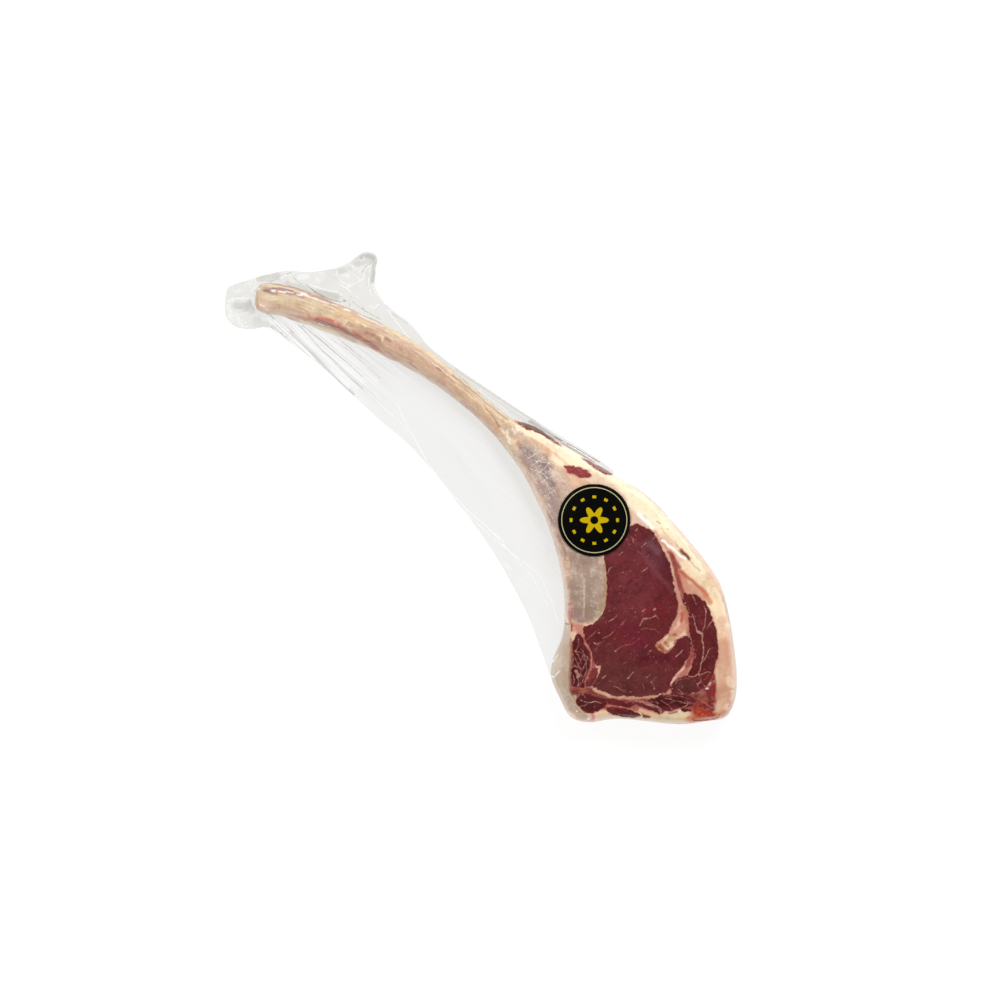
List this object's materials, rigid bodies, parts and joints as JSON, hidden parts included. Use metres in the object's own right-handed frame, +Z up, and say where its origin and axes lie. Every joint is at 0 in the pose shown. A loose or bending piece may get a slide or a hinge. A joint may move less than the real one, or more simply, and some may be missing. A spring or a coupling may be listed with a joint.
{
  "type": "raw tomahawk steak",
  "caption": "Raw bone-in ribeye steak with its long curved rib, lying flat, shrink-packed in clear film with a plain round label.",
  "frame": {"origin": "middle of the underside of the whole, on the surface it lies on", "axes": "+Z up out of the upper cut face; +X towards the head and its foot, with the rib's sawn tip at -X and +Y"},
  "size_m": [0.4106, 0.379, 0.0462],
  "materials": {
    "bone": "moist bone under membrane, peach to cream, grey towards the head",
    "fat": "moist fat, cream to peach, glossy under film",
    "lean": "raw lean meat, dark burgundy with fine pale marbling, glossy under film",
    "juice": "clear red meat juice under film",
    "label": "semi-gloss black disc with yellow shapes",
    "film": "clear shrink film, glossy, with drawn wrinkles"
  },
  "bodies": {
    "root": {"rib_bone": "bone", "fat_cap": "fat", "eye_muscle": "lean", "cap_muscle": "lean", "side_muscle": "lean", "lower_lean_1": "lean", "lower_lean_2": "lean", "lower_lean_3": "lean", "lower_lean_4": "lean", "lean_island": "lean", "edge_lean_1": "lean", "edge_lean_2": "lean", "juice_pocket": "juice", "label": "label", "bag": "film"}
  },
  "joints": []
}
